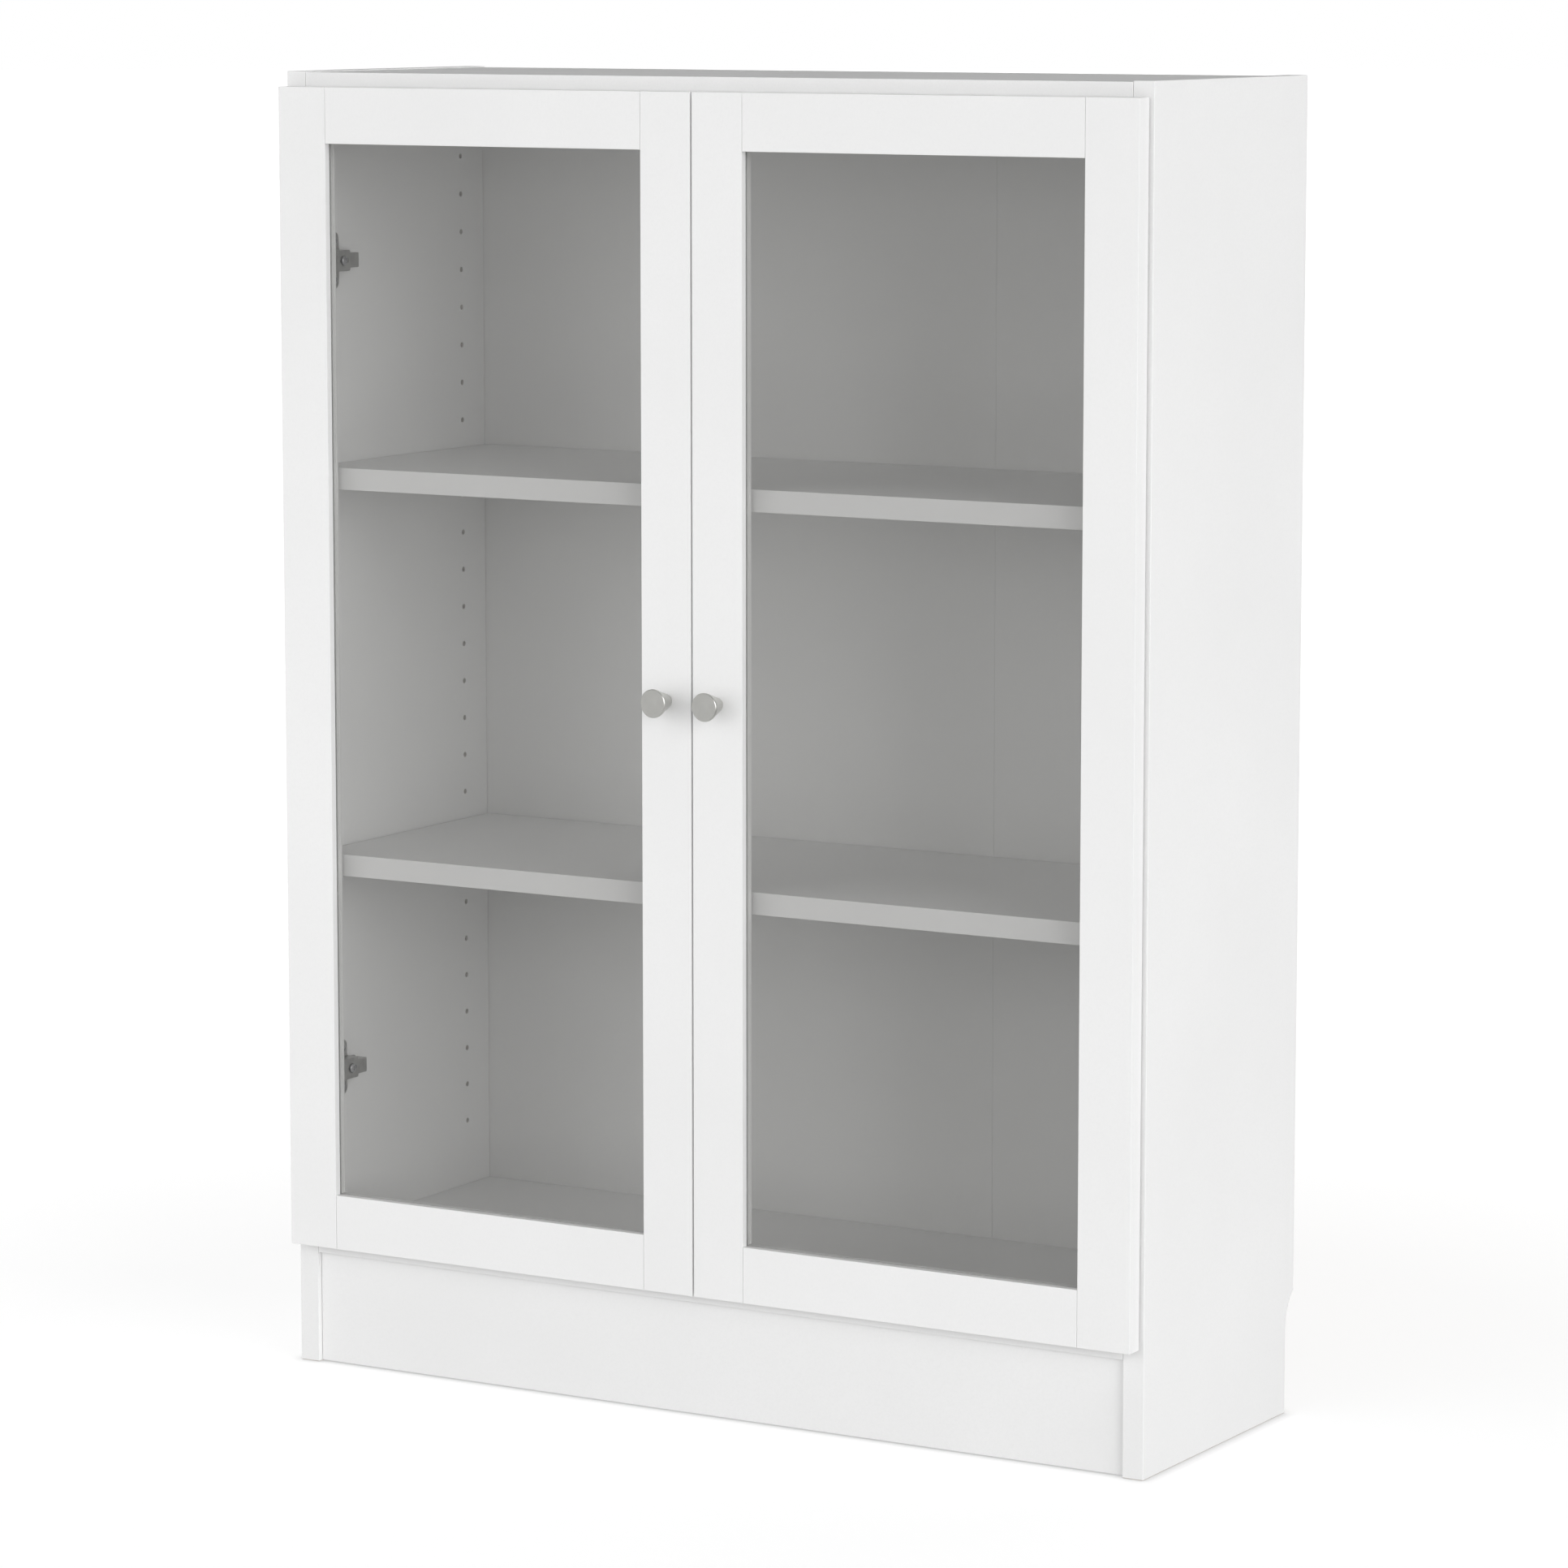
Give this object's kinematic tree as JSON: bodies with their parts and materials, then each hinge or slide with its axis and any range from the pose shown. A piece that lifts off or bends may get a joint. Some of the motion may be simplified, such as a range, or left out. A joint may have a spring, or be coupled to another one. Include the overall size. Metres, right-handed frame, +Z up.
{
  "type": "glass-door bookcase",
  "caption": "White bookcase on a plinth, with side-hinged framed glass doors, tapered metal knobs, concealed hinges and shelves on pins.",
  "frame": {"origin": "on the floor, under the middle of the whole object's box (knobs included)", "axes": "+Z up, +X to the right as seen from the front, +Y from the front to the back; the doors face -Y"},
  "size_m": [0.792, 0.3038, 1.074],
  "materials": {
    "white_board": "white foil-covered particle board, faint woven grain, satin",
    "white_door": "white foil-wrapped door frame, faint grain, satin",
    "white_back": "white painted fibreboard, matte",
    "clear_glass": "clear float glass",
    "bead_plastic": "pale grey-white glazing bead",
    "nickel": "satin nickel, turned",
    "hinge_steel": "nickel-plated pressed steel",
    "zinc_steel": "zinc-plated steel"
  },
  "bodies": {
    "carcass": {"side_panel_left": "white_board", "side_panel_right": "white_board", "top_panel": "white_board", "bottom_panel": "white_board", "plinth_board": "white_board", "shelf_upper": "white_board", "shelf_lower": "white_board", "back_panel_left": "white_back", "back_panel_centre": "white_back", "back_panel_right": "white_back", "shelf_upper_pin_left_front": "zinc_steel", "shelf_upper_pin_left_back": "zinc_steel", "shelf_upper_pin_right_front": "zinc_steel", "shelf_upper_pin_right_back": "zinc_steel", "shelf_lower_pin_left_front": "zinc_steel", "shelf_lower_pin_left_back": "zinc_steel", "shelf_lower_pin_right_front": "zinc_steel", "shelf_lower_pin_right_back": "zinc_steel", "hinge_left_lower_plate": "hinge_steel", "hinge_left_lower_arm": "hinge_steel", "hinge_left_lower_screw": "hinge_steel", "hinge_left_upper_plate": "hinge_steel", "hinge_left_upper_arm": "hinge_steel", "hinge_left_upper_screw": "hinge_steel", "hinge_right_lower_plate": "hinge_steel", "hinge_right_lower_arm": "hinge_steel", "hinge_right_lower_screw": "hinge_steel", "hinge_right_upper_plate": "hinge_steel", "hinge_right_upper_arm": "hinge_steel", "hinge_right_upper_screw": "hinge_steel"},
    "left_hinge_levers": {"hinge_left_lower_lever": "hinge_steel", "hinge_left_upper_lever": "hinge_steel"},
    "left_door": {"door_left_outer_stile": "white_door", "door_left_inner_stile": "white_door", "door_left_top_rail": "white_door", "door_left_bottom_rail": "white_door", "door_left_glass": "clear_glass", "door_left_bead_bottom": "bead_plastic", "door_left_bead_top": "bead_plastic", "door_left_bead_outer": "bead_plastic", "door_left_bead_inner": "bead_plastic", "door_left_knob": "nickel", "door_left_knob_screw": "zinc_steel", "hinge_left_lower_cup": "hinge_steel", "hinge_left_upper_cup": "hinge_steel"},
    "right_hinge_levers": {"hinge_right_lower_lever": "hinge_steel", "hinge_right_upper_lever": "hinge_steel"},
    "right_door": {"door_right_outer_stile": "white_door", "door_right_inner_stile": "white_door", "door_right_top_rail": "white_door", "door_right_bottom_rail": "white_door", "door_right_glass": "clear_glass", "door_right_bead_bottom": "bead_plastic", "door_right_bead_top": "bead_plastic", "door_right_bead_outer": "bead_plastic", "door_right_bead_inner": "bead_plastic", "door_right_knob": "nickel", "door_right_knob_screw": "zinc_steel", "hinge_right_lower_cup": "hinge_steel", "hinge_right_upper_cup": "hinge_steel"}
  },
  "joints": [
    {"name": "left_lever_turn", "type": "hinge", "parent": "carcass", "child": "left_hinge_levers", "pos_m": [-0.366, -0.11435, 0.582], "axis": [0, 0, -1], "range_deg": [-53, 0]},
    {"name": "left_door_swing", "type": "hinge", "parent": "left_hinge_levers", "child": "left_door", "pos_m": [-0.3825, -0.11825, 0.582], "axis": [0, 0, -1], "range_deg": [0, 157.5]},
    {"name": "right_lever_turn", "type": "hinge", "parent": "carcass", "child": "right_hinge_levers", "pos_m": [0.366, -0.11435, 0.582], "axis": [0, 0, 1], "range_deg": [-53, 0]},
    {"name": "right_door_swing", "type": "hinge", "parent": "right_hinge_levers", "child": "right_door", "pos_m": [0.3825, -0.11825, 0.582], "axis": [0, 0, 1], "range_deg": [0, 157.5]}
  ],
  "couplings": [
    {"joint": "left_lever_turn", "follows": "left_door_swing", "ratio": -0.33333},
    {"joint": "right_lever_turn", "follows": "right_door_swing", "ratio": -0.33333}
  ]
}
